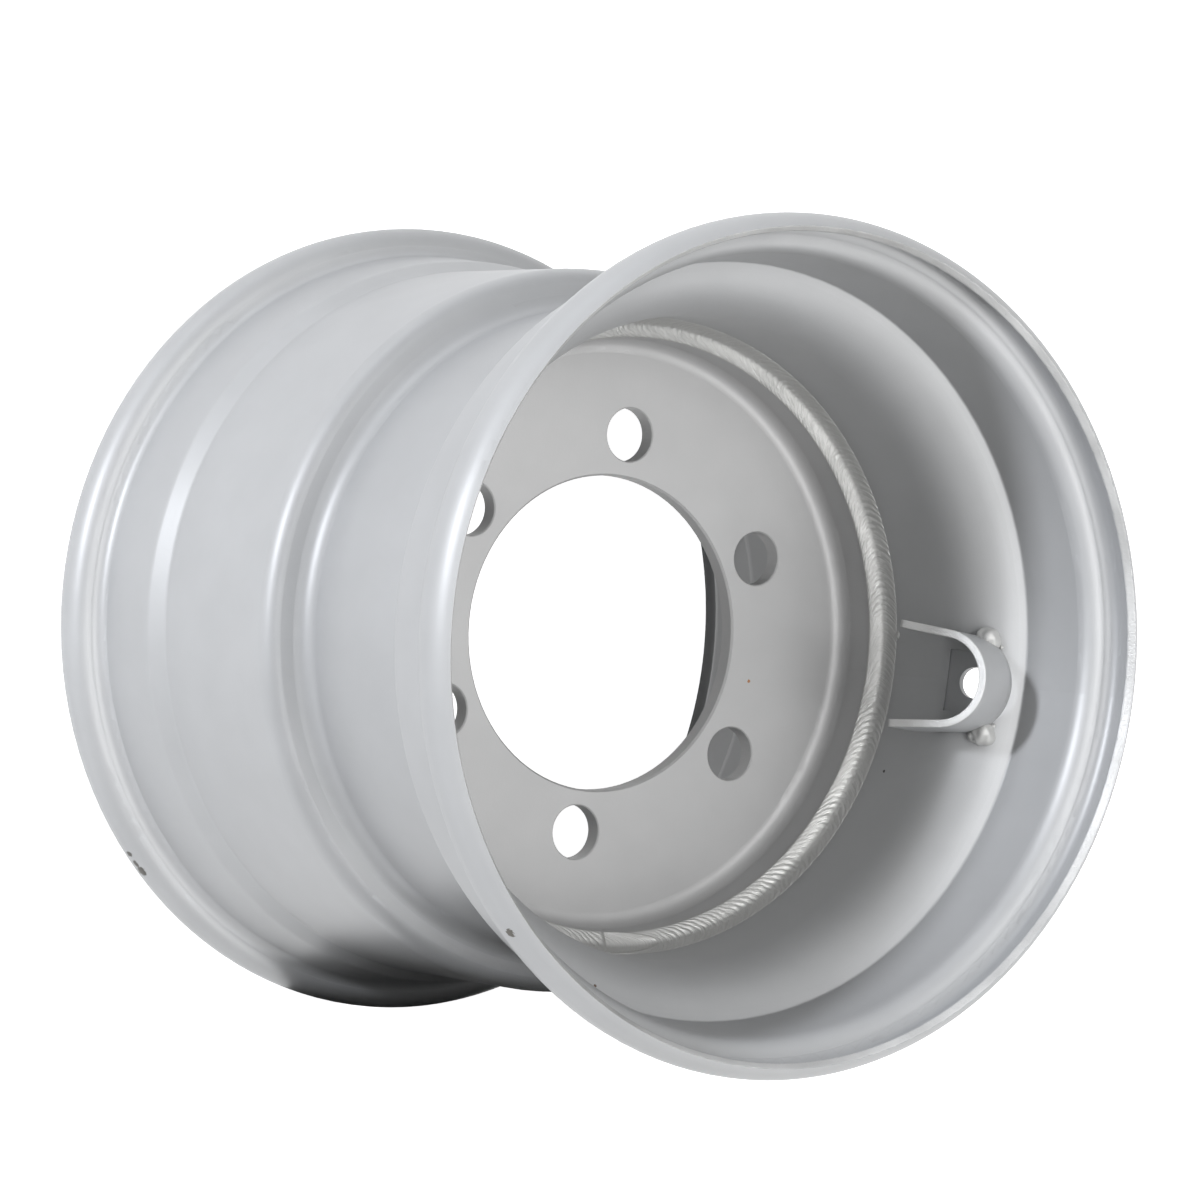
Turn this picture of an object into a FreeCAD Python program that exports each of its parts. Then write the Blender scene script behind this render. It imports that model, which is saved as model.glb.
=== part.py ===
import FreeCAD, Part
import os
import math
import Sketcher

# Steel drop-centre rim for a farm implement, 13 inches between its flanges, painted and without a tyre.
# It stands on its rear flange: the axle axis is Z, the outer side with the valve is up, and the valve
# lies towards +X. Stations are heights above the rim's middle plane, positive towards the outer side.
# All lengths are millimetres and all angles are degrees.

SIZES = [
    # the band: one strip of sheet, rolled to its section
    ("wall", 4.5, "sheet thickness of the band"),
    ("half_width", 190.0, "middle plane to a flange's free edge"),
    ("flange_reach", 24.9, "a flange's free edge back to its tyre face"),
    ("flange_lean", 1.3, "how far the tyre face leans to each side of that"),
    ("lip_turn_in", 4.8, "width of the curled end of a flange"),
    ("lip_drop", 6.7, "how far the free edge lies below the flange's top"),
    ("seat_radius", 192.0, "bead seats at their ends beside the well"),
    ("flange_height", 18.4, "top of a flange above that"),
    ("seat_taper", 5.0, "slope of the bead seats"),
    ("outer_seat", 45.7, "width of the outer bead seat"),
    ("inner_seat", 43.3, "width of the inner bead seat"),
    ("step_run", 9.8, "width of the step from the inner seat to the ledge"),
    ("ledge_depth", 5.5, "depth of that step"),
    ("shoulder", -10.0, "station where the ledge turns down to the well"),
    ("well_depth", 26.2, "bead seat down to the floor of the well"),
    ("rear_wall_run", 5.6, "width that the well's rear wall takes"),
    ("front_wall_run", 12.2, "width that the well's front wall takes"),
    ("crown_bend", 11.2, "inside bend radius at the flange's top"),
    ("flange_bend", 6.5, "inside bend radius between the top and the tyre face"),
    ("heel_bend", 6.5, "inside bend radius between the tyre face and the seat"),
    ("crease_bend", 1.5, "inside bend radius where a seat ends"),
    ("foot_bend", 4.0, "inside bend radius at the foot of the step"),
    ("shoulder_bend", 5.5, "inside bend radius of the shoulder"),
    ("rear_well_bend", 10.0, "inside bend radius at the rear of the well"),
    ("front_well_bend", 34.0, "inside bend radius at the front of the well"),
    # the disc, pressed from plate, with its skirt towards the outer side
    ("plate", 10.0, "thickness of the disc"),
    ("disc_offset", 1.0, "station of the mounting face"),
    ("skirt_end", 35.5, "station where the skirt ends"),
    ("skirt_bend", 8.0, "inside bend radius between face and skirt"),
    ("bore_radius", 80.5, "central bore"),
    ("bore_chamfer", 1.0, "broken edge of the bore"),
    ("stud_land", 8.2, "steel left between the bore and a stud hole"),
    ("stud_radius", 13.8, "stud hole"),
    ("stud_chamfer", 0.6, "broken edge of a stud hole"),
    ("stud_angle", 89.6, "first stud hole, turned from the valve"),
    ("stud_count", 6, "number of stud holes"),
    # the weld between the skirt and the band
    ("weld_leg", 10.0, "how far the weld runs along the band"),
    ("weld_cap", 0.8, "weld on the skirt's end"),
    ("weld_toe", 0.5, "thickness of the weld at its toe"),
    ("weld_hollow", 8.2, "radius of the weld's hollow face"),
    # the valve hole and the flat pressed round it
    ("valve_tilt", 28.7, "valve's axis, turned from the radius towards the outer side"),
    ("valve_radius", 8.1, "valve hole"),
    ("valve_ahead", 1.5, "valve hole ahead of the line where the guard touches the band"),
    ("flat_width", 32.0, "size of the flat along the rim's circumference"),
    ("flat_length", 27.6, "size of the flat across the rim"),
    ("flat_ahead", 0.6, "middle of the flat ahead of the guard's touching line"),
    ("flat_depth", 3.0, "flat pressed out below the guard's touching line"),
    ("flat_lap", 0.5, "pressed edge round the flat"),
    # the guard: a strap on edge, bent to a U round the valve
    ("strap", 4.0, "thickness of the strap"),
    ("strap_width", 34.8, "how far the strap stands off the band"),
    ("guard_length", 50.6, "outside length of the U"),
    ("guard_end", 27.6, "half of the U's outside width at its open end"),
    ("guard_nose", 23.0, "half of the U's outside width where its bend begins"),
    ("guard_bend", 21.0, "inside bend radius of the U"),
    ("guard_reach", 24.9, "bend of the U ahead of the line where it touches the band"),
    ("guard_aside", -1.1, "how far the guard sits off the valve's centre line"),
    ("dab_radius", 5.5, "half width of a weld dab"),
    ("dab_height", 5.2, "half height of a weld dab"),
    ("dab_lift", 1.5, "middle of a weld dab above the guard's lower edge"),
    ("dab_back", 14.0, "weld dabs behind the bend of the U"),
    ("dab_spread", 25.3, "weld dabs to each side of the valve"),
]

doc = FreeCAD.newDocument("implement_rim")
sheet = doc.addObject("Spreadsheet::Sheet", "sizes")
for row, (name, value, note) in enumerate(SIZES, start=1):
    sheet.set(f"A{row}", str(value))
    sheet.setAlias(f"A{row}", name)
    sheet.set(f"B{row}", note)
doc.recompute()

BEND_ROOM = 0.99  # the most of a run that the bends at its two ends may take
SAME_SIZE = 1e-4  # mm, within which two radii are one


def size(expression):
    """The value of an expression in the sheet's names."""
    result = sheet.evalExpression(expression)
    return getattr(result, "Value", result)


def bent_line(sketch, corners, closed=False):
    """Draw a line that runs from corner to corner with a round bend at each.

    A corner is (across, along, bend): three expressions, where bend may be None for a sharp corner.
    A bend whose tangents would overrun its two runs is drawn smaller by the same share.
    """
    count = len(corners)
    points = [FreeCAD.Vector(size(across), size(along), 0) for across, along, bend in corners]
    runs = count if closed else count - 1
    turns = []
    reaches = []
    for i, (across, along, bend) in enumerate(corners):
        if bend is None:
            turns.append(0.0)
            reaches.append(0.0)
            continue
        before = points[i] - points[i - 1]
        after = points[(i + 1) % count] - points[i]
        turns.append(before.getAngle(after))
        reaches.append(size(bend) * math.tan(turns[i] / 2))
    shares = []
    for i in range(runs):
        room = (points[(i + 1) % count] - points[i]).Length * BEND_ROOM
        wanted = reaches[i] + reaches[(i + 1) % count]
        shares.append(min(1.0, room / wanted) if wanted > 0 else 1.0)

    bends = []
    for i, (across, along, bend) in enumerate(corners):
        if bend is None:
            bends.append(None)
            continue
        share = min(shares[i - 1], shares[i % runs])
        bends.append(bend if share == 1.0 else f"({bend}) * {share:.6f}")

    def tangent_point(i, towards):
        """Where the bend at corner i leaves the run towards another corner."""
        if bends[i] is None:
            return points[i]
        reach = size(bends[i]) * math.tan(turns[i] / 2)
        return points[i] + (points[towards] - points[i]).normalize() * reach

    lines = []
    for i in range(runs):
        j = (i + 1) % count
        lines.append(sketch.addGeometry(
            Part.LineSegment(tangent_point(i, j), tangent_point(j, i))))

    def place(geometry, vertex, i):
        """Tie a point of the sketch to corner i by its two named distances."""
        for kind, text in (("DistanceX", corners[i][0]), ("DistanceY", corners[i][1])):
            index = sketch.addConstraint(
                Sketcher.Constraint(kind, -1, 1, geometry, vertex, size(text)))
            sketch.setExpression(f"Constraints[{index}]", text)

    for i in range(count):
        first = i - 1 if (i > 0 or closed) else None
        second = i if i < runs else None
        if bends[i] is None:
            if first is not None and second is not None:
                sketch.addConstraint(
                    Sketcher.Constraint("Coincident", lines[first], 2, lines[second], 1))
            if second is not None:
                place(lines[second], 1, i)
            else:
                place(lines[first], 2, i)
            continue
        begin = tangent_point(i, i - 1)
        end = tangent_point(i, (i + 1) % count)
        radius = size(bends[i])
        inward = ((begin + end) * 0.5 - points[i]).normalize()
        centre = points[i] + inward * (radius / math.cos(turns[i] / 2))
        middle = centre - inward * radius
        arc = sketch.addGeometry(Part.Arc(begin, middle, end))
        forward = (sketch.getPoint(arc, 1) - begin).Length < (sketch.getPoint(arc, 2) - begin).Length
        start, stop = (1, 2) if forward else (2, 1)
        sketch.addConstraint(Sketcher.Constraint("Tangent", lines[first], 2, arc, start))
        sketch.addConstraint(Sketcher.Constraint("Tangent", arc, stop, lines[second], 1))
        index = sketch.addConstraint(Sketcher.Constraint("Radius", arc, radius))
        sketch.setExpression(f"Constraints[{index}]", bends[i])
        corner = sketch.addGeometry(Part.Point(points[i]), True)
        place(corner, 1, i)
        sketch.addConstraint(Sketcher.Constraint("PointOnObject", corner, 1, lines[first]))
        sketch.addConstraint(Sketcher.Constraint("PointOnObject", corner, 1, lines[second]))


def section_sketch(name):
    """A sketch on the plane through the axle axis: X is the radius, Y is the station."""
    sketch = doc.addObject("Sketcher::SketchObject", name)
    sketch.Placement = FreeCAD.Placement(FreeCAD.Vector(0, 0, 0),
                                         FreeCAD.Rotation(FreeCAD.Vector(1, 0, 0), 90))
    sketch.setExpression("Placement.Base.z", "sizes.half_width")
    return sketch


def ring(name, source):
    """Turn a flat section once round the axle axis."""
    turned = doc.addObject("Part::Revolution", name)
    turned.Source = source
    turned.Axis = (0, 0, 1)
    turned.Base = (0, 0, 0)
    turned.Angle = 360
    turned.Solid = True
    return turned


def thickened(name, source, thickness):
    """Give an open line a thickness on one side, which the sign of the thickness picks."""
    section = doc.addObject("Part::Offset2D", name)
    section.Source = source
    section.Mode = "Skin"
    section.Join = "Arc"
    section.Fill = True
    section.setExpression("Value", thickness)
    return section


# The tyre side of the band, from the outer flange's free edge to the inner one's.
tyre_face = "(sizes.half_width - sizes.flange_reach)"
heel = f"({tyre_face} - sizes.flange_lean)"
front_crease = f"({tyre_face} - sizes.outer_seat)"
rear_crease = f"(sizes.inner_seat - {tyre_face})"
well_front = f"({front_crease} - sizes.front_wall_run)"
crown_radius = "(sizes.seat_radius + sizes.flange_height)"
ledge_radius = "sizes.seat_radius - sizes.ledge_depth"
well_radius = "sizes.seat_radius - sizes.well_depth"
front_heel = f"sizes.seat_radius + ({heel} - {front_crease}) * tan(sizes.seat_taper)"
rear_heel = f"sizes.seat_radius + ({heel} + {rear_crease}) * tan(sizes.seat_taper)"
crown_bend = "sizes.crown_bend + sizes.wall"
flange_bend = "sizes.flange_bend + sizes.wall"
crease_bend = "sizes.crease_bend + sizes.wall"
band_line = section_sketch("band_line")
bent_line(band_line, [
    (f"{crown_radius} - sizes.lip_drop", "sizes.half_width", None),
    (crown_radius, "sizes.half_width - sizes.lip_turn_in", crown_bend),
    (crown_radius, f"{tyre_face} + sizes.flange_lean", flange_bend),
    (front_heel, heel, "sizes.heel_bend"),
    ("sizes.seat_radius", front_crease, crease_bend),
    (well_radius, well_front, "sizes.front_well_bend"),
    (well_radius, "sizes.shoulder + sizes.rear_wall_run", "sizes.rear_well_bend"),
    (ledge_radius, "sizes.shoulder", "sizes.shoulder_bend + sizes.wall"),
    (ledge_radius, f"{rear_crease} + sizes.step_run", "sizes.foot_bend"),
    ("sizes.seat_radius", rear_crease, crease_bend),
    (rear_heel, f"-{heel}", "sizes.heel_bend"),
    (crown_radius, f"-{tyre_face} - sizes.flange_lean", flange_bend),
    (crown_radius, "-sizes.half_width + sizes.lip_turn_in", crown_bend),
    (f"{crown_radius} - sizes.lip_drop", "-sizes.half_width", None),
])
band_section = thickened("band_section", band_line, "-sizes.wall")
rolled_band = ring("rolled_band", band_section)

# The guard and the valve's flat lie in planes square to the valve's axis. The guard touches the band
# where the well's front bend has that slope, a little inwards because the band is round there.
front_turn = "atan2(sizes.well_depth; sizes.front_wall_run)"
bend_start = f"({well_front} - sizes.front_well_bend * tan({front_turn} / 2))"
inner_bend = "(sizes.front_well_bend + sizes.wall)"
touch_radius = f"({well_radius} + sizes.front_well_bend - {inner_bend} * cos(sizes.valve_tilt))"
touch_station = f"({bend_start} + {inner_bend} * sin(sizes.valve_tilt))"


def valve_place(thing, ahead, off):
    """Put a thing's origin on the valve's plane, ahead along it and off the band by so much."""
    turn = "sizes.valve_tilt - 90"
    thing.Placement = FreeCAD.Placement(FreeCAD.Vector(0, 0, 0),
                                        FreeCAD.Rotation(FreeCAD.Vector(0, 1, 0), size(turn)))
    thing.setExpression("Placement.Rotation.Angle", turn)
    thing.setExpression(
        "Placement.Base.x",
        f"{touch_radius} + ({ahead}) * sin(sizes.valve_tilt) - ({off}) * cos(sizes.valve_tilt)")
    thing.setExpression(
        "Placement.Base.z",
        f"sizes.half_width + {touch_station}"
        f" + ({ahead}) * cos(sizes.valve_tilt) + ({off}) * sin(sizes.valve_tilt)")


def flat_block(name, margin, bottom, height):
    """A block over the valve's flat, larger than it by a margin all round."""
    block = doc.addObject("Part::Box", name)
    block.setExpression("Length", f"sizes.flat_length + 2 * ({margin})")
    block.setExpression("Width", f"sizes.flat_width + 2 * ({margin})")
    block.setExpression("Height", height)
    valve_place(block, f"sizes.flat_ahead - sizes.flat_length / 2 - ({margin})", bottom)
    block.setExpression("Placement.Base.y", f"-sizes.flat_width / 2 - ({margin})")
    return block


through = "4 * sizes.wall"
window = flat_block("flat_window", "0", f"-{through}", f"2 * {through}")
flat_plate = flat_block("flat_plate", "sizes.flat_lap", "-sizes.flat_depth - sizes.wall", "sizes.wall")
valve_drill = doc.addObject("Part::Cylinder", "valve_drill")
valve_drill.setExpression("Radius", "sizes.valve_radius")
valve_drill.setExpression("Height", f"2 * {through}")
valve_place(valve_drill, "sizes.valve_ahead", f"-{through}")

opened_band = doc.addObject("Part::Cut", "opened_band")
opened_band.Base = rolled_band
opened_band.Tool = window
flatted_band = doc.addObject("Part::Fuse", "flatted_band")
flatted_band.Base = opened_band
flatted_band.Tool = flat_plate
rim_band = doc.addObject("Part::Cut", "rim_band")
rim_band.Base = flatted_band
rim_band.Tool = valve_drill

# The disc: its section is turned, and the stud holes are cut and repeated round it.
band_bore = f"({well_radius} - sizes.wall)"
skirt_bore = f"({band_bore} - sizes.plate)"
face = "sizes.disc_offset + sizes.plate"
centre_disc = doc.addObject("PartDesign::Body", "centre_disc")
centre_disc.setExpression("Placement.Base.z", "sizes.half_width")
planes = {feature.Role: feature for feature in centre_disc.Origin.OriginFeatures}
disc_line = centre_disc.newObject("Sketcher::SketchObject", "disc_section")
disc_line.AttachmentSupport = [(planes["XZ_Plane"], "")]
disc_line.MapMode = "FlatFace"
doc.recompute()
bent_line(disc_line, [
    ("sizes.bore_radius", "sizes.disc_offset + sizes.bore_chamfer", None),
    ("sizes.bore_radius + sizes.bore_chamfer", "sizes.disc_offset", None),
    (band_bore, "sizes.disc_offset", "sizes.skirt_bend + sizes.plate"),
    (band_bore, "sizes.skirt_end", None),
    (skirt_bore, "sizes.skirt_end", None),
    (skirt_bore, face, "sizes.skirt_bend"),
    ("sizes.bore_radius + sizes.bore_chamfer", face, None),
    ("sizes.bore_radius", f"{face} - sizes.bore_chamfer", None),
], closed=True)
pressing = centre_disc.newObject("PartDesign::Revolution", "pressing")
pressing.Profile = disc_line
pressing.ReferenceAxis = (disc_line, ["V_Axis"])
pressing.Angle = 360
doc.recompute()

stud_sketch = centre_disc.newObject("Sketcher::SketchObject", "stud_sketch")
stud_sketch.AttachmentSupport = [(planes["XY_Plane"], "")]
stud_sketch.MapMode = "FlatFace"
stud_circle = "(sizes.bore_radius + sizes.stud_land + sizes.stud_radius)"
stud_x = f"{stud_circle} * cos(sizes.stud_angle)"
stud_y = f"{stud_circle} * sin(sizes.stud_angle)"
stud = stud_sketch.addGeometry(Part.Circle(FreeCAD.Vector(size(stud_x), size(stud_y), 0),
                                           FreeCAD.Vector(0, 0, 1), size("sizes.stud_radius")))
for kind, text in (("DistanceX", stud_x), ("DistanceY", stud_y)):
    tie = stud_sketch.addConstraint(Sketcher.Constraint(kind, -1, 1, stud, 3, size(text)))
    stud_sketch.setExpression(f"Constraints[{tie}]", text)
tie = stud_sketch.addConstraint(Sketcher.Constraint("Radius", stud, size("sizes.stud_radius")))
stud_sketch.setExpression(f"Constraints[{tie}]", "sizes.stud_radius")
stud_hole = centre_disc.newObject("PartDesign::Pocket", "stud_hole")
stud_hole.Profile = stud_sketch
stud_hole.Type = "ThroughAll"
stud_hole.Midplane = True
doc.recompute()
stud_holes = centre_disc.newObject("PartDesign::PolarPattern", "stud_holes")
stud_holes.Originals = [stud_hole]
stud_holes.Axis = (planes["Z_Axis"], [""])
stud_holes.Angle = 360
stud_holes.setExpression("Occurrences", "sizes.stud_count")
centre_disc.Tip = stud_holes
doc.recompute()

stud_edges = []
for number, edge in enumerate(stud_holes.Shape.Edges, start=1):
    curve = edge.Curve
    if isinstance(curve, Part.Circle) and abs(curve.Radius - size("sizes.stud_radius")) < SAME_SIZE:
        stud_edges.append(f"Edge{number}")
broken_edges = centre_disc.newObject("PartDesign::Chamfer", "broken_edges")
broken_edges.Base = (stud_holes, stud_edges)
broken_edges.setExpression("Size", "sizes.stud_chamfer")
centre_disc.Tip = broken_edges

# The weld: a hollow fillet that covers the skirt's end and runs out on the band.
weld_line = section_sketch("weld_line")
cap = "sizes.skirt_end + sizes.weld_cap"
bent_line(weld_line, [
    (skirt_bore, "sizes.skirt_end", None),
    (band_bore, "sizes.skirt_end", None),
    (band_bore, "sizes.skirt_end + sizes.weld_leg", None),
    (f"{band_bore} - sizes.weld_toe", "sizes.skirt_end + sizes.weld_leg", None),
    (f"{band_bore} - sizes.weld_toe", cap, "sizes.weld_hollow"),
    (skirt_bore, cap, None),
], closed=True)
disc_weld = ring("disc_weld", weld_line)

# The guard.
guard_line = doc.addObject("Sketcher::SketchObject", "guard_line")
bent_line(guard_line, [
    ("-sizes.guard_length", "-sizes.guard_end", None),
    ("0", "-sizes.guard_nose", "sizes.guard_bend + sizes.strap"),
    ("0", "sizes.guard_nose", "sizes.guard_bend + sizes.strap"),
    ("-sizes.guard_length", "sizes.guard_end", None),
])
guard_section = thickened("guard_section", guard_line, "-sizes.strap")
valve_guard = doc.addObject("Part::Extrusion", "valve_guard")
valve_guard.Base = guard_section
valve_guard.DirMode = "Custom"
valve_guard.Dir = (0, 0, 1)
valve_guard.Solid = True
valve_guard.setExpression("LengthFwd", "sizes.strap_width")
side_lift = (f"({touch_radius} - sqrt({touch_radius}^2 - sizes.guard_end^2))"
             " * cos(sizes.valve_tilt)")
valve_place(valve_guard, "sizes.guard_reach", side_lift)
valve_guard.setExpression("Placement.Base.y", "sizes.guard_aside")

# The two weld dabs fill the corner between the guard's bend and the band.
dabs = []
for name, side in (("guard_weld_upper", 1), ("guard_weld_lower", -1)):
    blob = doc.addObject("Part::Ellipsoid", f"{name}_blob")
    blob.setExpression("Radius1", "sizes.dab_height")
    blob.setExpression("Radius2", "sizes.dab_radius")
    blob.setExpression("Radius3", "sizes.dab_radius")
    valve_place(blob, "sizes.guard_reach - sizes.dab_back", f"{side_lift} + sizes.dab_lift")
    blob.setExpression("Placement.Base.y", f"sizes.guard_aside + {side} * sizes.dab_spread")
    off_band = doc.addObject("Part::Cut", f"{name}_off_band")
    off_band.Base = blob
    off_band.Tool = rolled_band
    dab = doc.addObject("Part::Cut", name)
    dab.Base = off_band
    dab.Tool = valve_guard
    dabs.append(dab)

subparts = [rim_band, centre_disc, disc_weld, valve_guard] + dabs
doc.recompute()

for thing in doc.Objects:
    for state in ("Invalid", "Error"):
        if state in thing.State:
            raise RuntimeError(f"{thing.Name} is {thing.State}")
os.makedirs("parts", exist_ok=True)
for thing in subparts:
    shape = thing.Shape
    if shape.isNull() or not shape.isValid():
        raise RuntimeError(f"{thing.Label} has no valid shape")
for thing in subparts:
    thing.Shape.exportStep(f"parts/{thing.Label}.step")
    print(thing.Label, len(thing.Shape.Solids), round(thing.Shape.Volume))
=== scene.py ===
"""Painted steel drop-centre rim for an implement wheel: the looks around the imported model."""

import math

import bmesh
import bpy
from mathutils import Matrix, Vector, noise


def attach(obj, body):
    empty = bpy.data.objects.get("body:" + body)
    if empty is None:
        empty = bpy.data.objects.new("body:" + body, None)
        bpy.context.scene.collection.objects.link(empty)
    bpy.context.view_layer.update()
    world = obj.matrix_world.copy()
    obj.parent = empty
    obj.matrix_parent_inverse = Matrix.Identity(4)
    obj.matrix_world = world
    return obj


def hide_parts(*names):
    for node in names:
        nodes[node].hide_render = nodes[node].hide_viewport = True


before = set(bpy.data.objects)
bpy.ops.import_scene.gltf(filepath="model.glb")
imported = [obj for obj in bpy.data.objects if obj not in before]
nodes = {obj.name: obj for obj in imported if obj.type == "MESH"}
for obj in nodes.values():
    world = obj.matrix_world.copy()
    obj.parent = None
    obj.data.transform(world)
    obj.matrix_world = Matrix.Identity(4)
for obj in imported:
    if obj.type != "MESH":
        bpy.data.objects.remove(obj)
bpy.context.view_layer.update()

# Lengths are in millimetres unless a comment says otherwise, and MM turns them into metres.
MM = 0.001

# The rim's own sizes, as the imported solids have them. Stations along the axle count from the
# middle plane.
HALF_WIDTH = 190.0
MIDDLE = HALF_WIDTH  # height of the middle plane, since the rim stands on its rear flange
CROWN_RADIUS = 210.4  # top of a flange
LIP_DROP = 6.7  # a flange's free edge below its top
LIP_TURN_IN = 4.8  # width of its curled end
WALL = 4.5  # thickness of the band
VALVE_TILT = math.radians(28.7)  # the valve's axis, from the radius towards the outer side
STRAP = 4.0  # thickness of the guard's strap
STRAP_WIDTH = 34.8


def linear(hex_colour):
    """sRGB hex to the linear colour that a socket takes."""
    parts = [int(hex_colour[i:i + 2], 16) / 255 for i in (1, 3, 5)]
    parts = [c / 12.92 if c <= 0.04045 else ((c + 0.055) / 1.055) ** 2.4 for c in parts]
    return (*parts, 1.0)


def add_node(tree, kind, inputs=None, **settings):
    """A node with its settings, and its inputs as values or as links from other sockets."""
    node = tree.nodes.new(kind)
    for name, value in settings.items():
        setattr(node, name, value)
    for name, value in (inputs or {}).items():
        if isinstance(value, bpy.types.NodeSocket):
            tree.links.new(value, node.inputs[name])
        else:
            node.inputs[name].default_value = value
    return node


def placed(name, mesh, material=None):
    """A mesh as an object at the origin, with smooth faces."""
    mesh.polygons.foreach_set("use_smooth", [True] * len(mesh.polygons))
    if material:
        mesh.materials.append(material)
    thing = bpy.data.objects.new(name, mesh)
    bpy.context.collection.objects.link(thing)
    return thing


def new_object(name, vertices, faces, material=None):
    """An object at the origin from its vertices and faces."""
    mesh = bpy.data.meshes.new(name)
    mesh.from_pydata(vertices, [], faces)
    mesh.validate()
    return placed(name, mesh, material)


# Camera: found from the photograph's flanges, bore and stud holes, in axes with the axle along -Y.

FOCAL_PX = 5252.97
IMAGE_PX = 1200  # width of the photograph
SENSOR_MM = 36.0
CAMERA_AZIMUTH = math.radians(-33.70673)
CAMERA_ELEVATION = math.radians(0.39341)
CAMERA_ROLL = math.radians(3.11167)
CAMERA_RANGE = 12.80006 * CROWN_RADIUS * MM
AIM_PX = (-8.88483, -32.18430)  # the rim's middle: left of the picture's middle and below it
VALVE_TURN = math.radians(5.2)  # from those axes to the model's, which has the valve at +X
CAMERA_CLIP = 100.0  # metres


def to_model(vector):
    """From the axes in which the camera was found to the model's."""
    x, y, z = vector
    cos, sin = math.cos(VALVE_TURN), math.sin(VALVE_TURN)
    return Vector((x * cos - z * sin, x * sin + z * cos, -y))


def place_camera():
    """The camera of the photograph."""
    az, el, roll = CAMERA_AZIMUTH, CAMERA_ELEVATION, CAMERA_ROLL
    back = Vector((math.sin(az) * math.cos(el), -math.cos(az) * math.cos(el), math.sin(el)))
    level = Vector((math.cos(az), math.sin(az), 0.0))
    upright = back.cross(level)
    right = math.cos(roll) * level + math.sin(roll) * upright
    up = -math.sin(roll) * level + math.cos(roll) * upright
    aside = AIM_PX[0] * CAMERA_RANGE / FOCAL_PX
    above = AIM_PX[1] * CAMERA_RANGE / FOCAL_PX
    eye = CAMERA_RANGE * back - aside * right - above * up
    data = bpy.data.cameras.new("photo_camera")
    data.sensor_width = SENSOR_MM
    data.lens = FOCAL_PX * SENSOR_MM / IMAGE_PX
    data.clip_end = CAMERA_CLIP
    camera = bpy.data.objects.new("photo_camera", data)
    bpy.context.collection.objects.link(camera)
    turn = Matrix([to_model(right), to_model(up), to_model(back)]).transposed().to_4x4()
    middle = Vector((0, 0, MIDDLE * MM))
    camera.matrix_world = Matrix.Translation(to_model(eye) + middle) @ turn
    bpy.context.scene.camera = camera


place_camera()


# Materials.

WELD_RIDGE = 157.2  # radius of the weld's ridge, where its strokes bend back
STROKE_SWEEP = 0.42  # how fast they bend: millimetres for each square millimetre off the ridge
STRAIGHT_SQUEEZE = 0.035  # scale along the lines of the straight lay
ROUND_SQUEEZE = 0.02  # the same for the round lay, in metres for each radian
SWEPT_SQUEEZE = 0.12  # and for the swept lay
TEAR_MM = 1.5  # size of the tears in the edge of a mark
TEAR_DEPTH = 1.4  # their depth, in shares of the mark's half lengths
MARK_FADE = (0.85, 1.05)  # where a mark begins to fade and where it ends, in the same shares
CLOUD_MM = 45  # size of the slow changes in tone
CLOUD_NOISE = (0.3, 0.7)  # where in their noise the darkest and the lightest tone lie


def in_marks(tree, place, marks):
    """One inside any of the marks, each given by its centre and its three half lengths."""
    torn = add_node(tree, "ShaderNodeTexNoise",
                    {"Vector": place, "Scale": 1 / (TEAR_MM * MM), "Detail": 2.0})
    shift = add_node(tree, "ShaderNodeVectorMath", {0: torn.outputs["Color"], 1: (0.5,) * 3},
                     operation="SUBTRACT").outputs[0]
    inside = 0.0
    for centre, reach in marks:
        away = add_node(tree, "ShaderNodeVectorMath", {0: place, 1: tuple(c * MM for c in centre)},
                        operation="SUBTRACT").outputs[0]
        share = add_node(tree, "ShaderNodeVectorMath",
                         {0: away, 1: tuple(r * MM for r in reach)}, operation="DIVIDE").outputs[0]
        share = add_node(tree, "ShaderNodeVectorMath", {0: shift, 1: (TEAR_DEPTH,) * 3, 2: share},
                         operation="MULTIPLY_ADD").outputs[0]
        far = add_node(tree, "ShaderNodeVectorMath", {0: share},
                       operation="LENGTH").outputs["Value"]
        here = add_node(tree, "ShaderNodeMapRange",
                        {"Value": far, "From Min": MARK_FADE[0], "From Max": MARK_FADE[1],
                         "To Min": 1.0, "To Max": 0.0}).outputs[0]
        inside = add_node(tree, "ShaderNodeMath", {0: inside, 1: here},
                          operation="MAXIMUM").outputs[0]
    return inside


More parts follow.
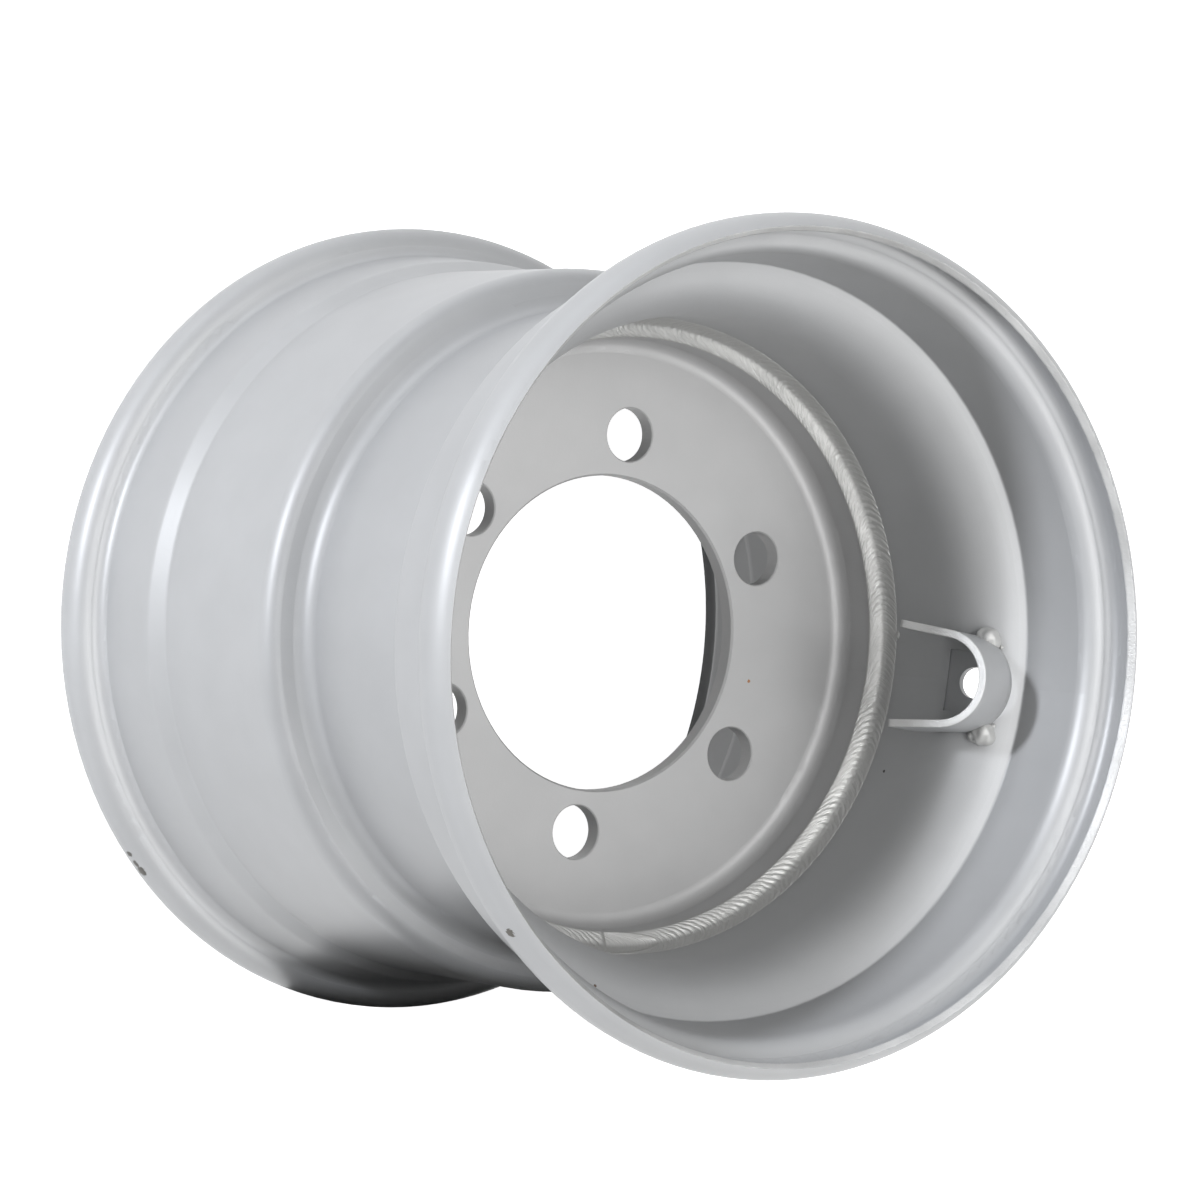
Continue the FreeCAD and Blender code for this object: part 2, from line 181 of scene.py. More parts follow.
def laid_out(tree, place, lay):
    """Coordinates squeezed along the lines of a surface, so that noise in them gives the lines."""
    if lay == "straight":
        return add_node(tree, "ShaderNodeVectorMath", {0: place, 1: (1.0, STRAIGHT_SQUEEZE, 1.0)},
                        operation="MULTIPLY").outputs[0]
    x, y, z = add_node(tree, "ShaderNodeSeparateXYZ", {"Vector": place}).outputs
    radius = add_node(tree, "ShaderNodeVectorMath",
                      {0: add_node(tree, "ShaderNodeCombineXYZ", {0: x, 1: y}).outputs[0]},
                      operation="LENGTH").outputs["Value"]
    angle = add_node(tree, "ShaderNodeMath", {0: y, 1: x}, operation="ARCTAN2").outputs[0]
    if lay == "round":
        along = add_node(tree, "ShaderNodeMath", {0: angle, 1: ROUND_SQUEEZE}, operation="MULTIPLY")
        return add_node(tree, "ShaderNodeCombineXYZ",
                        {0: radius, 1: along.outputs[0], 2: z}).outputs[0]
    off = add_node(tree, "ShaderNodeMath", {0: radius, 1: WELD_RIDGE * MM}, operation="SUBTRACT")
    back = add_node(tree, "ShaderNodeMath", {0: off.outputs[0], 1: off.outputs[0]},
                    operation="MULTIPLY").outputs[0]
    back = add_node(tree, "ShaderNodeMath", {0: back, 1: STROKE_SWEEP / MM}, operation="MULTIPLY")
    along = add_node(tree, "ShaderNodeMath", {0: angle, 1: WELD_RIDGE * MM, 2: back.outputs[0]},
                     operation="MULTIPLY_ADD").outputs[0]
    across = add_node(tree, "ShaderNodeMath", {0: radius, 1: SWEPT_SQUEEZE},
                      operation="MULTIPLY").outputs[0]
    return add_node(tree, "ShaderNodeCombineXYZ", {0: along, 1: across}).outputs[0]


def satin_paint(name, colour, roughness=0.46, metallic=0.20, grain_mm=1.3, grain_height=0.02,
                lines_mm=None, lines_height=0.025, lay="round", tone=0.03, wear=()):
    """Silver paint, sprayed in one satin coat: aluminium flake that lights up at the bends.

    The grain is the coat's orange peel. The lines are lines_mm apart, and lay says how they run:
    round the axle, as the rolls left them on the band, straight along Y, as on the plate, or swept
    back from the ridge of the weld, as its metal froze. Each wear is a colour and the marks where
    the bare or stained steel shows it.
    """
    material = bpy.data.materials.new(name)
    material.use_nodes = True
    tree = material.node_tree
    shader = tree.nodes["Principled BSDF"]
    place = add_node(tree, "ShaderNodeTexCoord").outputs["Object"]
    peel = add_node(tree, "ShaderNodeTexNoise",
                    {"Vector": place, "Scale": 1 / (grain_mm * MM), "Detail": 2.0,
                     "Roughness": 0.5})
    bump = add_node(tree, "ShaderNodeBump",
                    {"Height": peel.outputs[0], "Strength": 1.0, "Distance": grain_height * MM})
    cloud = add_node(tree, "ShaderNodeTexNoise",
                     {"Vector": place, "Scale": 1 / (CLOUD_MM * MM), "Detail": 3.0,
                      "Roughness": 0.55})
    if lines_mm:
        lines = add_node(tree, "ShaderNodeTexNoise",
                         {"Vector": laid_out(tree, place, lay), "Scale": 1 / (lines_mm * MM),
                          "Detail": 2.0, "Roughness": 0.6})
        bump = add_node(tree, "ShaderNodeBump",
                        {"Height": lines.outputs[0], "Strength": 1.0,
                         "Distance": lines_height * MM, "Normal": bump.outputs[0]})
    ramp = add_node(tree, "ShaderNodeMapRange",
                    {"Value": cloud.outputs[0],
                     "From Min": CLOUD_NOISE[0], "From Max": CLOUD_NOISE[1],
                     "To Min": 1 - tone, "To Max": 1 + tone})
    base = add_node(tree, "ShaderNodeVectorMath",
                    {0: linear(colour)[:3], "Scale": ramp.outputs[0]}, operation="SCALE").outputs[0]
    for worn, marks in wear:
        mixed = add_node(tree, "ShaderNodeMix", {0: in_marks(tree, place, marks)}, data_type="RGBA")
        tree.links.new(base, mixed.inputs[6])
        mixed.inputs[7].default_value = linear(worn)
        base = mixed.outputs[2]
    tree.links.new(base, shader.inputs["Base Color"])
    tree.links.new(bump.outputs[0], shader.inputs["Normal"])
    shader.inputs["Roughness"].default_value = roughness
    shader.inputs["Metallic"].default_value = metallic
    return material


# The wear is where the photograph shows it: a chip on the rear flange's edge, a dark spot beside
# the front lip, a spot of rust on the disc and two specks.
band_paint = satin_paint(
    "satin_silver_paint_on_rolled_steel", "#B2B3B4", lines_mm=2.2,
    wear=[("#4A4843", [((-153.2, -144.3, 14.6), (1.9, 1.9, 2.2)),
                       ((-148.6, -149.0, 15.0), (2.6, 2.6, 2.0)),
                       ((-145.0, -152.6, 15.4), (3.1, 3.1, 3.4))]),
          ("#57544E", [((-143.5, -153.1, 371.2), (2.6, 2.6, 2.4))]),
          ("#5B4A40", [((-50.6, -175.5, 310.0), (1.0, 1.0, 1.0))]),
          ("#3A3A38", [((153.1, -50.5, 248.8), (0.9, 0.9, 0.9))])])
disc_paint = satin_paint(
    "satin_silver_paint_on_pressed_plate", "#B2B2B2", grain_mm=1.6, grain_height=0.03, lines_mm=1.3,
    lines_height=0.02, lay="straight",
    wear=[("#A0734F", [((94.5, -13.0, 201.0), (0.9, 0.9, 0.9))])])
weld_paint = satin_paint("satin_silver_paint_on_weld", "#B6B6B4", roughness=0.38, metallic=0.4,
                         grain_mm=0.8, lines_mm=1.3, lines_height=0.28, lay="swept")
dab_paint = satin_paint("satin_silver_paint_on_weld_dabs", "#C0C0BE", roughness=0.50, metallic=0.2,
                        grain_mm=1.1, grain_height=0.06)
edge_paint = satin_paint("satin_silver_paint_on_sheared_edge", "#C6C6C5", roughness=0.42,
                         grain_mm=0.8, grain_height=0.26, tone=0.20)


def paint_node(name, material):
    """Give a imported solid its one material."""
    node = nodes[name]
    node.data.materials.clear()
    node.data.materials.append(material)


paint_node("rim_band", band_paint)
paint_node("centre_disc", disc_paint)
for replaced in ("disc_weld", "valve_guard", "guard_weld_upper", "guard_weld_lower"):
    paint_node(replaced, weld_paint)


# Pieces that follow the rim round: made as a plain ring, then roughened by a node tree.

def ring_of(name, section, count, attributes):
    """A closed ring turned round the axle from a closed section of (radius, station).

    attributes gives each named value of a point: a function of its share of the turn and of its
    number in the section.
    """
    size = len(section)
    turns = [(math.cos(2 * math.pi * i / count), math.sin(2 * math.pi * i / count))
             for i in range(count)]
    vertices = [(r * MM * c, r * MM * s, (MIDDLE + z) * MM) for c, s in turns for r, z in section]
    faces = []
    for i in range(count):
        j = (i + 1) % count
        for a in range(size):
            b = (a + 1) % size
            faces.append((i * size + a, i * size + b, j * size + b, j * size + a))
    ring = new_object(name, vertices, faces)
    for label, value in attributes.items():
        layer = ring.data.attributes.new(label, "FLOAT", "POINT")
        layer.data.foreach_set("value", [value(i / count, a) for i in range(count)
                                         for a in range(size)])
    return ring


def node_tree(name, inputs):
    """An empty geometry tree with named float inputs: the tree and its sockets by name."""
    tree = bpy.data.node_groups.new(name, "GeometryNodeTree")
    tree.interface.new_socket("Geometry", in_out="INPUT", socket_type="NodeSocketGeometry")
    tree.interface.new_socket("Geometry", in_out="OUTPUT", socket_type="NodeSocketGeometry")
    for label in inputs:
        tree.interface.new_socket(label, in_out="INPUT", socket_type="NodeSocketFloat")
    return tree, add_node(tree, "NodeGroupInput").outputs


def finish_tree(tree, geometry, material):
    """End the tree with real geometry in one material."""
    real = add_node(tree, "GeometryNodeRealizeInstances", {"Geometry": geometry})
    finished = add_node(tree, "GeometryNodeSetMaterial",
                        {"Geometry": real.outputs["Geometry"], "Material": material})
    add_node(tree, "NodeGroupOutput", {"Geometry": finished.outputs["Geometry"]})


def apply_tree(thing, tree, values):
    """Run the tree on a thing with these values and keep the result as its plain mesh."""
    modifier = thing.modifiers.new(tree.name, "NODES")
    modifier.node_group = tree
    for item in tree.interface.items_tree:
        if item.in_out == "INPUT" and item.name in values:
            modifier[item.identifier] = values[item.name]
    made = bpy.data.meshes.new_from_object(
        thing.evaluated_get(bpy.context.evaluated_depsgraph_get()))
    thing.modifiers.clear()
    thing.data = made
    for label in [layer.name for layer in made.attributes if layer.name.startswith("rim_")]:
        made.attributes.remove(made.attributes[label])


WANDER_MM = 9  # size of the waves in the ripples' course
PATCH_MM = 22  # size of the patches in which the ripples are high or low
PATCH_NOISE, PATCH_SHARE = (0.38, 0.62), (0.18, 1.0)  # noise, and the share of height it gives
CREST_MEAN = 0.6  # about the mean of a ripple's height, taken off so that the bead keeps its size


def roughened(name, wave):
    """A tree that moves points along their normals, by fine grain and, for a wave, by ripples too.

    The points carry rim_weight, the share of it that they take. For a wave they also carry
    rim_phase, which grows by one from ripple to ripple, and rim_lift, a height in metres that is
    added at the end.
    """
    tree, given = node_tree(name, ("Height", "Grain", "Grain Height", "Wander", "Seed"))
    weight = add_node(tree, "GeometryNodeInputNamedAttribute", {"Name": "rim_weight"},
                      data_type="FLOAT").outputs["Attribute"]
    place = add_node(tree, "GeometryNodeInputPosition").outputs[0]
    per_mm = add_node(tree, "ShaderNodeMath", {0: 1 / MM, 1: given["Grain"]}, operation="DIVIDE")
    fine = add_node(tree, "ShaderNodeTexNoise",
                    {"Vector": place, "W": given["Seed"], "Scale": per_mm.outputs[0],
                     "Detail": 2.0}, noise_dimensions="4D").outputs[0]
    fine = add_node(tree, "ShaderNodeMath", {0: fine, 1: 0.5}, operation="SUBTRACT").outputs[0]
    move = add_node(tree, "ShaderNodeMath", {0: fine, 1: given["Grain Height"]},
                    operation="MULTIPLY").outputs[0]
    if wave:
        phase = add_node(tree, "GeometryNodeInputNamedAttribute", {"Name": "rim_phase"},
                         data_type="FLOAT").outputs["Attribute"]
        coarse = add_node(tree, "ShaderNodeTexNoise",
                          {"Vector": place, "W": given["Seed"], "Scale": 1 / (WANDER_MM * MM),
                           "Detail": 1.0}, noise_dimensions="4D").outputs[0]
        phase = add_node(tree, "ShaderNodeMath", {0: coarse, 1: given["Wander"], 2: phase},
                         operation="MULTIPLY_ADD").outputs[0]
        turn = add_node(tree, "ShaderNodeMath", {0: phase, 1: math.pi}, operation="MULTIPLY")
        crest = add_node(tree, "ShaderNodeMath", {0: turn.outputs[0]}, operation="SINE").outputs[0]
        crest = add_node(tree, "ShaderNodeMath", {0: crest}, operation="ABSOLUTE").outputs[0]
        crest = add_node(tree, "ShaderNodeMath", {0: crest, 1: CREST_MEAN},
                         operation="SUBTRACT").outputs[0]
        patches = add_node(tree, "ShaderNodeTexNoise",
                           {"Vector": place, "W": given["Seed"], "Scale": 1 / (PATCH_MM * MM),
                            "Detail": 1.0}, noise_dimensions="4D").outputs[0]
        patches = add_node(tree, "ShaderNodeMapRange",
                           {"Value": patches,
                            "From Min": PATCH_NOISE[0], "From Max": PATCH_NOISE[1],
                            "To Min": PATCH_SHARE[0], "To Max": PATCH_SHARE[1]}).outputs[0]
        uneven = add_node(tree, "ShaderNodeMath", {0: patches, 1: crest},
                          operation="MULTIPLY").outputs[0]
        move = add_node(tree, "ShaderNodeMath", {0: uneven, 1: given["Height"], 2: move},
                        operation="MULTIPLY_ADD").outputs[0]
    move = add_node(tree, "ShaderNodeMath", {0: move, 1: weight}, operation="MULTIPLY").outputs[0]
    if wave:
        lift = add_node(tree, "GeometryNodeInputNamedAttribute", {"Name": "rim_lift"},
                        data_type="FLOAT").outputs["Attribute"]
        move = add_node(tree, "ShaderNodeMath", {0: move, 1: lift}, operation="ADD").outputs[0]
    offset = add_node(tree, "ShaderNodeVectorMath",
                      {0: add_node(tree, "GeometryNodeInputNormal").outputs[0], "Scale": move},
                      operation="SCALE").outputs[0]
    moved = add_node(tree, "GeometryNodeSetPosition",
                     {"Geometry": given["Geometry"], "Offset": offset}).outputs["Geometry"]
    return tree, moved


# The weld between the disc's skirt and the band: one bead of long, swept ripples that lie over
# each other, with a smooth crater where it stopped. Its section is given as (radius, station): the
# open top, with a point put in the middle of each step, and the hidden underside.

WELD_TOP = [(151.0, 34.6), (151.05, 35.2), (151.25, 35.7), (151.7, 36.1), (152.3, 36.45),
            (153.0, 36.8), (153.7, 37.15), (154.4, 37.5), (155.1, 37.85), (155.8, 38.2),
            (156.5, 38.6), (157.1, 39.0), (157.7, 39.55), (158.2, 40.2), (158.7, 40.9),
            (159.1, 41.6), (159.5, 42.35), (159.85, 43.1), (160.2, 43.85), (160.55, 44.6),
            (160.9, 45.3), (161.2, 45.75), (161.45, 46.0)]
WELD_TOP = [point for (r, z), (s, w) in zip(WELD_TOP, WELD_TOP[1:])
            for point in ((r, z), ((r + s) / 2, (z + w) / 2))] + WELD_TOP[-1:]
WELD_UNDER = [(161.45, 40.0), (161.45, 35.3), (156.0, 35.2)]
WELD_STEPS = 1800  # round the rim
RIPPLES = 260
RIPPLE_TIP = 0.56  # where across the bead the ripples reach furthest
RIPPLE_SWEEP = 2.6  # by how many ripples they lag half a bead away from there
BEAD_FADES = (0.06, 0.08)  # shares of the bead's width over which both its edges are calm
CRATER_START, CRATER_SPAN = 272.6, 11.6  # degrees round the rim
CRATER_HALF, CRATER_TIP = 0.44, 0.02  # half its width at either end, in shares of the bead's
CRATER_DIP, CRATER_LIP = 0.75, 0.40  # its depth, and the height of the lip round it
LIP_SHARE = 0.16  # breadth of that lip, in shares of the crater's half width
CRATER_CALM = 0.12  # share of the ripples that is left in the crater
START_RISE = 0.75  # height of the bead's raised start, beside the crater

# Along the bead, in spans of the crater counted from its start.
START_SPAN, START_FACE = 0.6, 0.05  # length of the raised start, and of its face to the crater
CRATER_FACE, CRATER_TAPER = 0.03, 0.3  # length of the crater's own face, and of its shallow end
CALM_BEFORE = 0.08  # length before the crater over which the ripples die out
CALM_TO, CALM_AFTER = 0.95, 0.25  # where they begin again, and the length over which they grow


def weld_phase(turn, number):
    """Ripples round the bead up to a point of the ring."""
    across = min(number / (len(WELD_TOP) - 1), 1.0)
    return turn * RIPPLES + RIPPLE_SWEEP * ((across - RIPPLE_TIP) / 0.5) ** 2


def weld_edge(number):
    """1 over the bead's open top, and 0 at its edges and underneath."""
    across = number / (len(WELD_TOP) - 1)
    return max(0.0, min(1.0, across / BEAD_FADES[0], (1 - across) / BEAD_FADES[1]))


def weld_weight(turn, number):
    """Share of the ripples and of the grain at a point of the ring."""
    along = (turn * 360 - CRATER_START) / CRATER_SPAN
    ripples = max(CRATER_CALM, -along / CALM_BEFORE, (along - CALM_TO) / CALM_AFTER)
    return weld_edge(number) * min(1.0, ripples)


def weld_lift(turn, number):
    """The bead's raised start, and beside it the leaf-shaped crater where the bead stopped."""
    along = (turn * 360 - CRATER_START) / CRATER_SPAN
    if not -START_SPAN < along < 1:
        return 0.0
    if along < 0:
        rise = START_RISE * MM * (1 + along / START_SPAN) ** 2
        return weld_edge(number) * rise * min(1.0, -along / START_FACE)
    half = CRATER_HALF * math.sqrt(1 - along) + CRATER_TIP
    away = abs(number / (len(WELD_TOP) - 1) - 0.5) / half
    bowl = math.sqrt(max(0.0, 1 - away * away))
    dip = CRATER_DIP * bowl * min(1.0, (1 - along) / CRATER_TAPER)
    lip = CRATER_LIP * math.exp(-((away - 1.0) / LIP_SHARE) ** 2)
    return weld_edge(number) * (lip - dip) * MM * min(1.0, along / CRATER_FACE)


weld = ring_of("disc_weld_bead", WELD_TOP + WELD_UNDER, WELD_STEPS,
               {"rim_phase": weld_phase, "rim_weight": weld_weight, "rim_lift": weld_lift})
tree, moved = roughened("weld_ripples", wave=True)
finish_tree(tree, moved, weld_paint)
apply_tree(weld, tree, {"Height": 0.4 * MM, "Grain": 1.4, "Grain Height": 0.2 * MM,
                        "Wander": 2.0, "Seed": 4.0})
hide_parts("disc_weld")
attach(weld, "root")


# The sheared ends of the strip, at the free edges of both flanges. They are rougher than the rolled
# faces and catch the light along one thin line.

EDGE_STEPS = 8  # across the sheared face
RING_STEPS = 1600  # round the rim
EDGE_ROUND = 0.12  # share of the wall over which each corner of the face is rounded
EDGE_PROUD, EDGE_SUNK = 0.16, 0.05  # height of the face over its corners, and theirs in the steel
EDGE_ROOT = 0.5  # how deep the ring is rooted in the steel
ROOT_SHARES = (0.9, 0.1)  # where across the wall


def sheared_edge(name, side, seed):
    """A thin ring over the sheared face of the front flange (side 1) or the rear one (side -1).

    Out is the way out of that face, and over is the way across it, from its outer corner.
    """
    length = math.hypot(LIP_DROP, LIP_TURN_IN)
    out = (-LIP_DROP / length, LIP_TURN_IN / length)
    over = (-out[1], out[0])
    corner = (CROWN_RADIUS - LIP_DROP, HALF_WIDTH)
    section = []
    for k in range(EDGE_STEPS + 1):
        share = k / EDGE_STEPS
        rounded = min(1.0, share / EDGE_ROUND, (1 - share) / EDGE_ROUND)
        proud = EDGE_PROUD * rounded - EDGE_SUNK
        section.append((corner[0] + over[0] * WALL * share + out[0] * proud,
                        corner[1] + over[1] * WALL * share + out[1] * proud))
    for share in ROOT_SHARES:
        section.append((corner[0] + over[0] * WALL * share - out[0] * EDGE_ROOT,
                        corner[1] + over[1] * WALL * share - out[1] * EDGE_ROOT))
    section = [(r, side * z) for r, z in section]
    if side > 0:
        section.reverse()

    def weight(turn, number):
        k = len(section) - 1 - number if side > 0 else number
        return 1.0 if 0 < k < EDGE_STEPS else 0.0

    ring = ring_of(name, section, RING_STEPS, {"rim_weight": weight})
    tree, moved = roughened(name + "_grain", wave=False)
    finish_tree(tree, moved, edge_paint)
    apply_tree(ring, tree, {"Grain": 1.1, "Grain Height": 0.35 * MM, "Seed": seed})
    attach(ring, "root")


sheared_edge("front_sheared_edge", 1, 1.0)
sheared_edge("rear_sheared_edge", -1, 2.0)


# The guard stands over a plane that touches the band at TOUCH. In that plane ahead runs towards the
# outer side and aside runs round the rim, and off runs away from the band.

TOUCH = Vector((166.03, 0.0, MIDDLE + 104.015))
AHEAD = Vector((math.sin(VALVE_TILT), 0.0, math.cos(VALVE_TILT)))
ASIDE = Vector((0.0, 1.0, 0.0))
OFF = Vector((-math.cos(VALVE_TILT), 0.0, math.sin(VALVE_TILT)))


def at_valve(ahead, aside, off):
    """A point given by its distances from TOUCH, as one of the model in metres."""
    return (TOUCH + AHEAD * ahead + ASIDE * aside + OFF * off) * MM


STRAP_LIFT = 2.03  # lower edge of the strap off the plane, since the band curves up beside TOUCH
STRAP_ROUND = 0.55  # radius of its long edges
STRAP_RUNS = 6  # faces across its width and across its thickness
CORNER_RUNS = 4  # faces round an edge
GUARD_AHEAD = 24.9  # outermost point of the U
GUARD_ASIDE = -1.1  # its middle line
GUARD_LEG = (50.6, 27.6)  # a leg's end: behind the bend, and to the side
GUARD_NOSE = 23.0  # a leg's outer face to the side, level with the outermost point
GUARD_BEND = 24.94  # outer radius of the bend
LEG_STEP = 1.5  # between two sections of a leg
BEND_STEPS = 44  # round the bend
GRAIN_MM, GRAIN_DEPTH = 0.9, 0.10  # dents in the sheared edge
SHEAR_SETBACK = 0.15  # the sheared upper face below the strap's full width
SHEAR_REACH = 0.6  # depth below that width to which it reaches down the corners
END_SHARE = 0.985  # width of the strap at its two ends


def guard_path():
    """Points on the strap's outer face and the way out of it, from one leg's end to the other.

    The bend takes the length reach off the leg, and it starts at the angle start.
    """
    run = Vector((GUARD_LEG[0], GUARD_NOSE - GUARD_LEG[1]))
    length = run.length
    run /= length
    turn = math.acos(run.dot(Vector((0, -1))))
    reach = GUARD_BEND * math.tan(turn / 2)
    out = Vector((-run.y, run.x))
    steps = int((length - reach) / LEG_STEP)
    half = [(Vector((-GUARD_LEG[0], GUARD_LEG[1])) + run * (length - reach) * i / steps, out)
            for i in range(steps + 1)]
    centre = half[-1][0] - out * GUARD_BEND
    start = math.atan2(out.y, out.x)
    for i in range(1, BEND_STEPS // 2 + 1):
        angle = start * (1 - i / (BEND_STEPS // 2))
        way = Vector((math.cos(angle), math.sin(angle)))
        half.append((centre + way * GUARD_BEND, way))
    other = [(Vector((p.x, -p.y)), Vector((w.x, -w.y))) for p, w in half[::-1]]
    return half + other


def strap_section():
    """The strap's section: depth below the outer face, height along its width, and if sheared."""
    outer = [(0.0, STRAP_ROUND + (STRAP_WIDTH - 2 * STRAP_ROUND) * step / STRAP_RUNS, False)
             for step in range(STRAP_RUNS + 1)]
    corner = []
    for step in range(1, CORNER_RUNS):
        a = math.radians(90 * step / CORNER_RUNS)
        corner.append((STRAP_ROUND * (1 - math.cos(a)),
                       STRAP_WIDTH - STRAP_ROUND * (1 - math.sin(a)), True))
    top = [(STRAP_ROUND + (STRAP - 2 * STRAP_ROUND) * step / STRAP_RUNS, STRAP_WIDTH, True)
           for step in range(STRAP_RUNS + 1)]
    points = outer + corner + top
    points += [(STRAP - d, h, True) for d, h, _ in corner[::-1]]
    points += [(STRAP, h, False) for _, h, _ in outer[::-1]]
    points += [(STRAP - STRAP_ROUND, 0.0, False), (STRAP_ROUND, 0.0, False)]
    return points


def make_guard():
    """The strap round the valve hole, swept along its path, with rolled faces and sheared edges."""
    section = strap_section()
    path = guard_path()
    vertices, sheared = [], []
    for number, (point, way) in enumerate(path):
        for depth, height, rough in section:
            spot = point - way * depth
            place = Vector((spot.x, spot.y, height))
            if number in (0, len(path) - 1):
                height = STRAP_WIDTH / 2 + (height - STRAP_WIDTH / 2) * END_SHARE
            lift = STRAP_LIFT + height
            if rough and height > STRAP_WIDTH - SHEAR_REACH:
                lift += noise.noise(place / GRAIN_MM) * GRAIN_DEPTH - SHEAR_SETBACK
            vertices.append(at_valve(GUARD_AHEAD + spot.x, GUARD_ASIDE + spot.y, lift))
    size = len(section)
    faces = []
    for i in range(len(path) - 1):
        for a in range(size):
            b = (a + 1) % size
            faces.append((i * size + a, (i + 1) * size + a, (i + 1) * size + b, i * size + b))
            sheared.append(section[a][2] and section[b][2])
    faces += [tuple(range(size)), tuple(reversed(range(len(vertices) - size, len(vertices))))]
    sheared += [True, True]
    guard = new_object("valve_guard_strap", vertices, faces, band_paint)
    guard.data.materials.append(edge_paint)
    guard.data.polygons.foreach_set("material_index", [int(rough) for rough in sheared])
    for end in guard.data.polygons[-2:]:
        end.use_smooth = False
    shell = bmesh.new()
    shell.from_mesh(guard.data)
    bmesh.ops.recalc_face_normals(shell, faces=shell.faces)
    shell.to_mesh(guard.data)
    shell.free()
    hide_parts("valve_guard")
    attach(guard, "root")


make_guard()


LARGE_LUMP = 4  # half length over which a lump gets the finer mesh
SWELL_SCALE = 1.3  # of the noise over a lump of radius 1
SWELL_START, SWELL_STEP = 3.0, 4.7  # where in the noise the first lump lies, and how far the next


def lump_of(name, lumps, place):
    """Rounded lumps of weld metal in one piece.

    Each has its centre, its three half lengths and how uneven it is, and place puts its points into
    the model.
    """
    shell = bmesh.new()
    for number, (centre, size, unevenness) in enumerate(lumps):
        fineness = 5 if max(size) > LARGE_LUMP else 3
        made = bmesh.ops.create_icosphere(shell, subdivisions=fineness, radius=1.0)
        for vertex in made["verts"]:
            way = vertex.co.normalized()
            shift = Vector((SWELL_START + SWELL_STEP * number, 0, 0))
            swell = 1 + unevenness * noise.noise(way * SWELL_SCALE + shift)
            vertex.co = place(*(c + w * half * swell for c, w, half in zip(centre, way, size)))
    bmesh.ops.recalc_face_normals(shell, faces=shell.faces)
    mesh = bpy.data.meshes.new(name)
    shell.to_mesh(mesh)
    shell.free()
    lump = placed(name, mesh, dab_paint)
    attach(lump, "root")
    return lump


# The dabs that hold the guard at its bend: each a large lump and a small one that runs out of it.
# They lie just over the strap's lower edge and behind the outermost point of the U.
DAB_LIFT = STRAP_LIFT + 1.5
DAB_AHEAD = GUARD_AHEAD - 14.0
upper_dab = lump_of("guard_dab_upper", [
    ((DAB_AHEAD - 1.6, 22.9, DAB_LIFT), (6.2, 5.7, 5.4), 0.25),
    ((DAB_AHEAD - 5.0, 22.4, DAB_LIFT - 0.4), (4.2, 3.4, 3.6), 0.2)], at_valve)
lower_dab = lump_of("guard_dab_lower", [
    ((DAB_AHEAD + 2.2, -25.9, DAB_LIFT), (5.9, 6.1, 5.4), 0.25),
    ((DAB_AHEAD - 3.4, -27.4, DAB_LIFT - 0.4), (3.3, 3.5, 3.2), 0.2)], at_valve)
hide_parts("guard_weld_upper")
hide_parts("guard_weld_lower")


def in_model(x, y, z):
    """A point of the model in metres."""
    return Vector((x, y, z)) * MM


# Spatter beside the dabs, and a small run of metal at the long weld's toe.
lump_of("weld_spatter", [((174.5, 19.4, 306.3), (1.2, 1.3, 1.3), 0.2),
                         ((173.4, 21.0, 305.6), (0.9, 1.0, 0.9), 0.2),
                         ((175.3, -21.1, 306.6), (1.5, 1.5, 1.5), 0.2),
                         ((160.4, 21.4, 236.8), (1.4, 2.6, 1.5), 0.3)], in_model)


# The floor and the room. The camera looks down on the floor, so it is also the white background.

MATT = 0.9  # roughness
FLOOR_HALF = 6.0  # metres
CARD_GAP = 0.8  # between the flanges and the black card
CARD_CORNERS = ((-0.04, -0.01), (0.34, -0.01), (0.34, 0.28), (-0.11, 0.28))  # x and z, in metres
ROOM_LIGHT = 0.02  # strength of the room as a light; seen or mirrored it is white


def seen_directly(tree):
    """One for the rays that show the background: the camera's, mirrored and refracted ones."""
    path = add_node(tree, "ShaderNodeLightPath")
    some = add_node(tree, "ShaderNodeMath", {0: path.outputs["Is Camera Ray"],
                                             1: path.outputs["Is Glossy Ray"]}, operation="MAXIMUM")
    return add_node(tree, "ShaderNodeMath", {0: some.outputs[0],
                                             1: path.outputs["Is Transmission Ray"]},
                    operation="MAXIMUM").outputs[0]


def matt(name, colour):
    """A matt material, and its shader."""
    material = bpy.data.materials.new(name)
    material.use_nodes = True
    shader = material.node_tree.nodes["Principled BSDF"]
    shader.inputs["Base Color"].default_value = linear(colour)
    shader.inputs["Roughness"].default_value = MATT
    return material, shader


def make_floor():
    """A floor that is white to the eye and in mirrored rays, and light grey to the lamps."""
    material, shader = matt("matt_white_studio_floor", "#C8C8C8")
    tree = material.node_tree
    shader.inputs["Emission Color"].default_value = (1, 1, 1, 1)
    tree.links.new(seen_directly(tree), shader.inputs["Emission Strength"])
    corners = [(x * FLOOR_HALF, y * FLOOR_HALF, 0) for x, y in ((-1, -1), (1, -1), (1, 1), (-1, 1))]
    floor = new_object("studio_floor", corners, [(0, 1, 2, 3)], material)


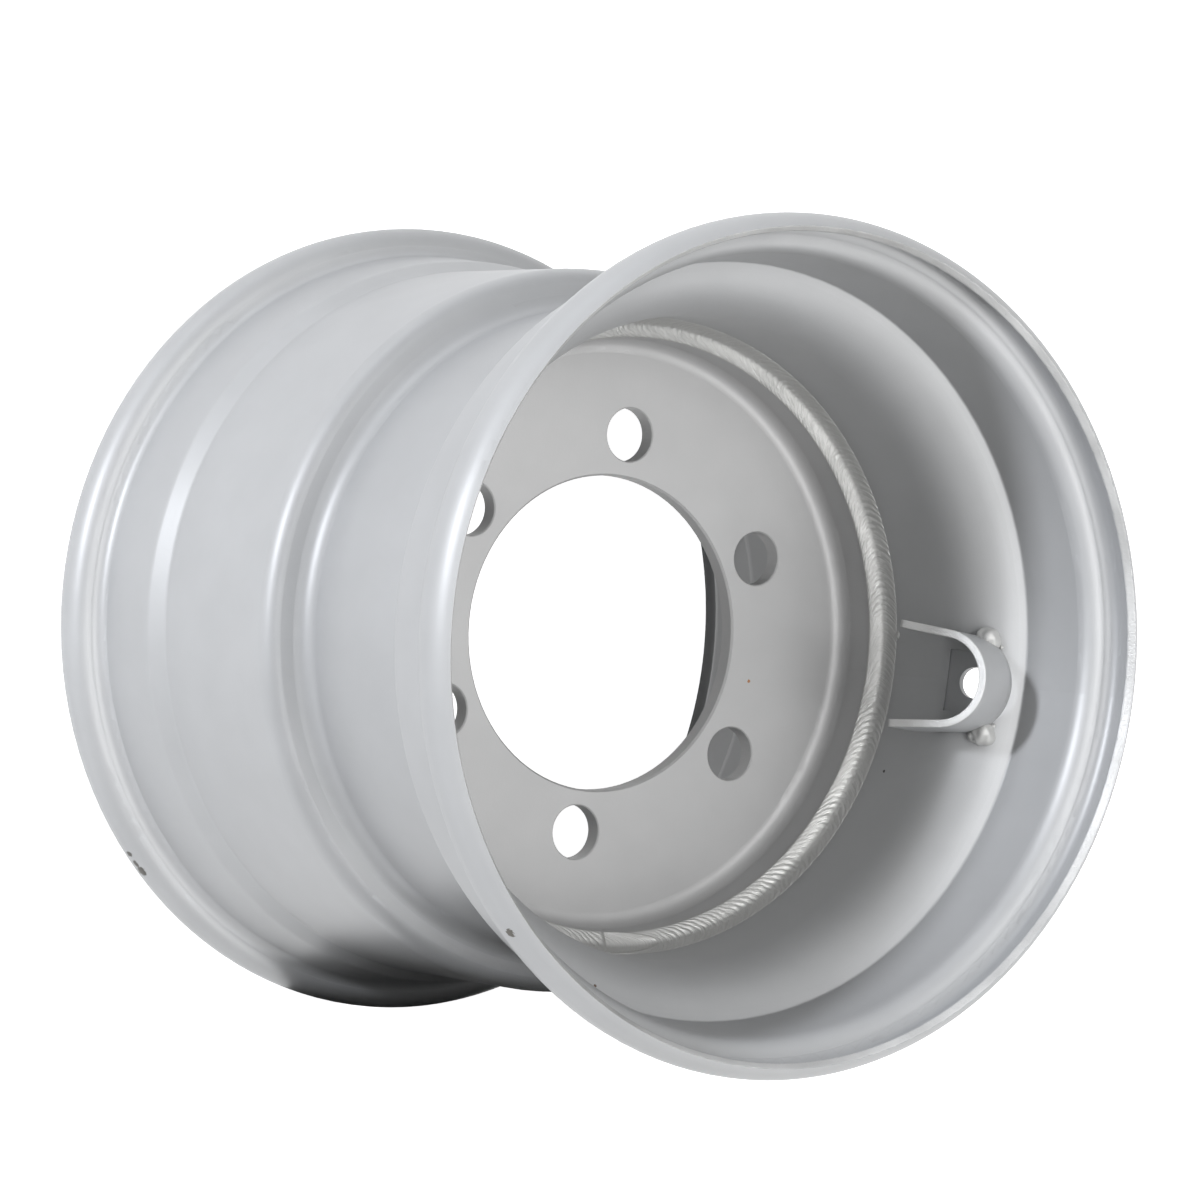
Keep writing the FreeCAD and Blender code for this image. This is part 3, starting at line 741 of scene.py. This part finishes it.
def make_flag():
    """A black card at -Y, below the rim in the picture: it keeps the light off its lowest part."""
    side = -(CROWN_RADIUS + CARD_GAP) * MM
    corners = [(x, side, z) for x, z in CARD_CORNERS]
    material, _ = matt("matt_black_card", "#1A1A1A")
    flag = new_object("black_card_below", corners, [(0, 1, 2, 3)], material)
    flag.visible_camera = False


def light_room():
    """A room that is white where it is seen or mirrored, and gives almost no light."""
    world = bpy.data.worlds.new("studio")
    bpy.context.scene.world = world
    world.use_nodes = True
    tree = world.node_tree
    strength = add_node(tree, "ShaderNodeMix", {0: seen_directly(tree), 2: ROOM_LIGHT, 3: 1.0},
                        data_type="FLOAT")
    shade = tree.nodes["Background"]
    shade.inputs["Color"].default_value = (1, 1, 1, 1)
    tree.links.new(strength.outputs[0], shade.inputs["Strength"])


# Soft lamps far away: where each stands from the rim (azimuth and elevation in degrees), how many
# degrees of sky it covers, its strength, where 1 lights a facing white surface to white, and its
# colour.
LAMPS = {
    "left_softbox": (165, 10.8, 6, 0.76, "#F6F9FF"),
    "top_softbox": (115, 5, 16, 0.07, "#F6F9FF"),
    "upper_softbox": (90, 75, 26, 0.28, "#FFFFFF"),
    "front_softbox": (180, 75, 26, 0.23, "#FFFFFF"),
    "lower_softbox": (270, 75, 26, 0.22, "#FFFFFF"),
    "right_softbox": (300, 55, 30, 0.20, "#FFFFFF"),
    "side_softbox": (310, 20, 30, 0.15, "#FFFFFF"),
}


def place_lamps():
    """The lamps, each turned so that it shines from its place to the rim."""
    for name, (azimuth, elevation, spread, strength, colour) in LAMPS.items():
        az, el = math.radians(azimuth), math.radians(elevation)
        way = Vector((math.cos(el) * math.cos(az), math.cos(el) * math.sin(az), math.sin(el)))
        lamp = bpy.data.objects.new(name, bpy.data.lights.new(name, "SUN"))
        lamp.rotation_mode = "QUATERNION"
        lamp.rotation_quaternion = way.to_track_quat("Z", "Y")
        bpy.context.collection.objects.link(lamp)
        lamp.data.energy = math.pi * strength
        lamp.data.angle = math.radians(spread)
        lamp.data.color = linear(colour)[:3]


make_floor()
make_flag()
light_room()
place_lamps()

bpy.context.scene.view_settings.view_transform = "Standard"
